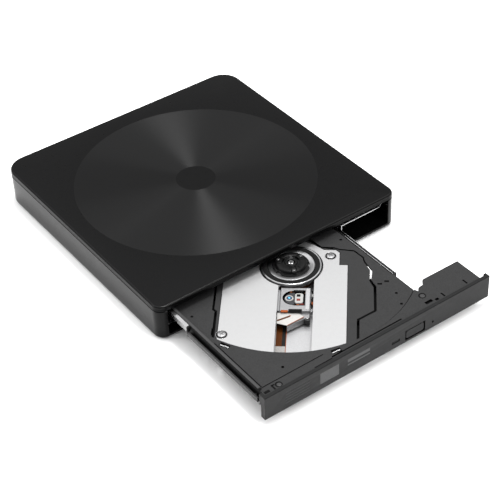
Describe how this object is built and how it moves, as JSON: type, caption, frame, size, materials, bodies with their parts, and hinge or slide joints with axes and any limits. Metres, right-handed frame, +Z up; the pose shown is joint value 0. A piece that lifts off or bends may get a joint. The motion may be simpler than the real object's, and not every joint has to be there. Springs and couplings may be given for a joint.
{
  "type": "external optical disc drive",
  "caption": "Flat square portable disc drive with a sliding disc tray, a turning spindle with sprung clips, a laser sled on rods, and an eject button.",
  "frame": {"origin": "on the table under the middle of the whole footprint, with the tray out as stored", "axes": "+X to the right along the front, +Y from the open tray's bezel to the back of the case, +Z up"},
  "size_m": [0.1404, 0.2158, 0.0195],
  "materials": {
    "case_gloss": "gloss moulded black",
    "case_satin": "satin black",
    "tray_plastic": "fine-grained dark grey",
    "inner_plastic": "moulded black",
    "rubber": "matte",
    "pressed_steel": "rolled sheet",
    "plate_metal": "satin, near white",
    "bright_metal": "polished",
    "cast_metal": "cast, satin",
    "board": "solder mask",
    "chip": "moulded black",
    "holder_plastic": "white",
    "lens_glass": "coated blue",
    "flex": "amber film",
    "lamp_plastic": "smoked"
  },
  "bodies": {
    "case": {"lower_shell": "case_gloss", "top_cover": "case_satin", "foot_front_left": "rubber", "foot_front_right": "rubber", "foot_rear_left": "rubber", "foot_rear_right": "rubber", "case_screw_rear_left": "pressed_steel", "case_screw_rear_right": "pressed_steel", "bridge_board": "board", "usb_socket_shell": "pressed_steel", "usb_socket_tongue": "inner_plastic", "bridge_chip": "chip", "bridge_sata_plug": "inner_plastic", "chassis_pan": "pressed_steel", "chassis_cover": "pressed_steel", "rail_guide_left": "inner_plastic", "rail_guide_right": "inner_plastic", "drive_sata_socket": "inner_plastic", "main_board": "board", "main_chip": "chip", "latch_post": "pressed_steel", "tray_ribbon": "flex"},
    "disc_tray": {"tray": "tray_plastic", "bezel": "tray_plastic", "tray_clip_left": "pressed_steel", "tray_clip_front": "pressed_steel", "light_pipe": "lamp_plastic", "eject_board": "board", "eject_switch": "chip", "latch_pivot": "pressed_steel", "traverse_base": "pressed_steel", "traverse_cover": "tray_plastic", "traverse_plate": "plate_metal", "plate_screw_left": "pressed_steel", "plate_screw_right": "pressed_steel", "damper_front_left": "rubber", "damper_front_right": "rubber", "damper_rear": "rubber", "spindle_stator": "flex", "guide_rod_left": "bright_metal", "guide_rod_right": "bright_metal", "sled_motor": "pressed_steel", "sled_ribbon": "flex"},
    "rail_left": {"slide_rail_left": "pressed_steel"},
    "rail_right": {"slide_rail_right": "pressed_steel"},
    "button": {"eject_button": "tray_plastic"},
    "latch": {"latch_lever": "inner_plastic"},
    "spindle": {"turntable": "bright_metal", "turntable_mat": "rubber", "clamp_hub": "inner_plastic", "spindle_shaft": "bright_metal"},
    "pawl_1": {"hub_pawl_1": "inner_plastic"},
    "pawl_2": {"hub_pawl_2": "inner_plastic"},
    "pawl_3": {"hub_pawl_3": "inner_plastic"},
    "sled": {"sled_body": "cast_metal", "sled_flex": "holder_plastic"},
    "lens": {"lens_holder": "holder_plastic", "objective_lens": "lens_glass"},
    "screw": {"lead_screw": "pressed_steel"}
  },
  "joints": [
    {"name": "tray_slide", "type": "slide", "parent": "case", "child": "disc_tray", "axis": [0, -1, 0], "range_m": [-0.0723, 0.053]},
    {"name": "rail_left_slide", "type": "slide", "parent": "case", "child": "rail_left", "axis": [0, -1, 0], "range_m": [-0.03615, 0.0265]},
    {"name": "rail_right_slide", "type": "slide", "parent": "case", "child": "rail_right", "axis": [0, -1, 0], "range_m": [-0.04916, 0.03604]},
    {"name": "eject_press", "type": "slide", "parent": "disc_tray", "child": "button", "axis": [0, 1, 0], "range_m": [0, 0.0008], "stiffness_N_per_m": 400},
    {"name": "latch_swing", "type": "hinge", "parent": "disc_tray", "child": "latch", "pos_m": [0.0232, -0.08345, 0.0055], "axis": [0, 0, 1], "range_deg": [-14, 0], "stiffness_Nm_per_rad": 0.01},
    {"name": "spindle_spin", "type": "hinge", "parent": "disc_tray", "child": "spindle", "pos_m": [0.00044, -0.04173, 0.0138], "axis": [0, 0, 1], "continuous": true},
    {"name": "pawl_1_press", "type": "slide", "parent": "spindle", "child": "pawl_1", "axis": [0.4179, 0.9085, 0], "range_m": [0, 0.0006], "stiffness_N_per_m": 300},
    {"name": "pawl_2_press", "type": "slide", "parent": "spindle", "child": "pawl_2", "axis": [-0.9957, -0.0924, 0], "range_m": [0, 0.0006], "stiffness_N_per_m": 300},
    {"name": "pawl_3_press", "type": "slide", "parent": "spindle", "child": "pawl_3", "axis": [0.5779, -0.8161, 0], "range_m": [0, 0.0006], "stiffness_N_per_m": 300},
    {"name": "sled_slide", "type": "slide", "parent": "disc_tray", "child": "sled", "axis": [-0.6388, -0.7694, 0], "range_m": [-0.0002, 0.036]},
    {"name": "lens_focus", "type": "slide", "parent": "sled", "child": "lens", "axis": [0, 0, 1], "range_m": [-0.0004, 0.0004], "stiffness_N_per_m": 40},
    {"name": "screw_turn", "type": "hinge", "parent": "disc_tray", "child": "screw", "pos_m": [0.01016, -0.04928, 0.0092], "axis": [-0.6388, -0.7694, 0], "range_deg": [-30, 4325]}
  ],
  "couplings": [
    {"joint": "rail_left_slide", "follows": "tray_slide", "ratio": 0.5},
    {"joint": "rail_right_slide", "follows": "tray_slide", "ratio": 0.68},
    {"joint": "screw_turn", "follows": "sled_slide", "rad_per_m": 2094.4}
  ]
}
